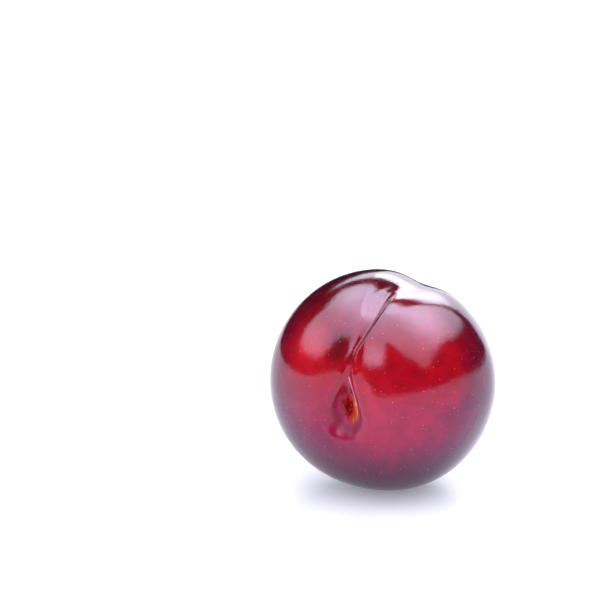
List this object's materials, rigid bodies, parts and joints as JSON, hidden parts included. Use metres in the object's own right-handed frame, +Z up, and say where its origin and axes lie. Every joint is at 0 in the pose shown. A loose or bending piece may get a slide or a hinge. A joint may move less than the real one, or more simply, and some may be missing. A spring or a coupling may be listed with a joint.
{
  "type": "plum",
  "caption": "Whole ripe red plum without its stem, with a stem cavity and a suture furrow, lying on its side on a small flat spot.",
  "frame": {"origin": "middle of the fruit's box, at the height of the flat spot that it lies on", "axes": "+Z up; -Y towards the stem cavity, whose axis is turned 21 degrees from -Y towards -X; the suture runs over the top, to the apex on the +Y side"},
  "size_m": [0.0598, 0.0568, 0.0578],
  "materials": {
    "skin": "glossy waxy fruit skin, dark crimson with pale dots"
  },
  "bodies": {
    "root": {"plum": "skin"}
  },
  "joints": []
}
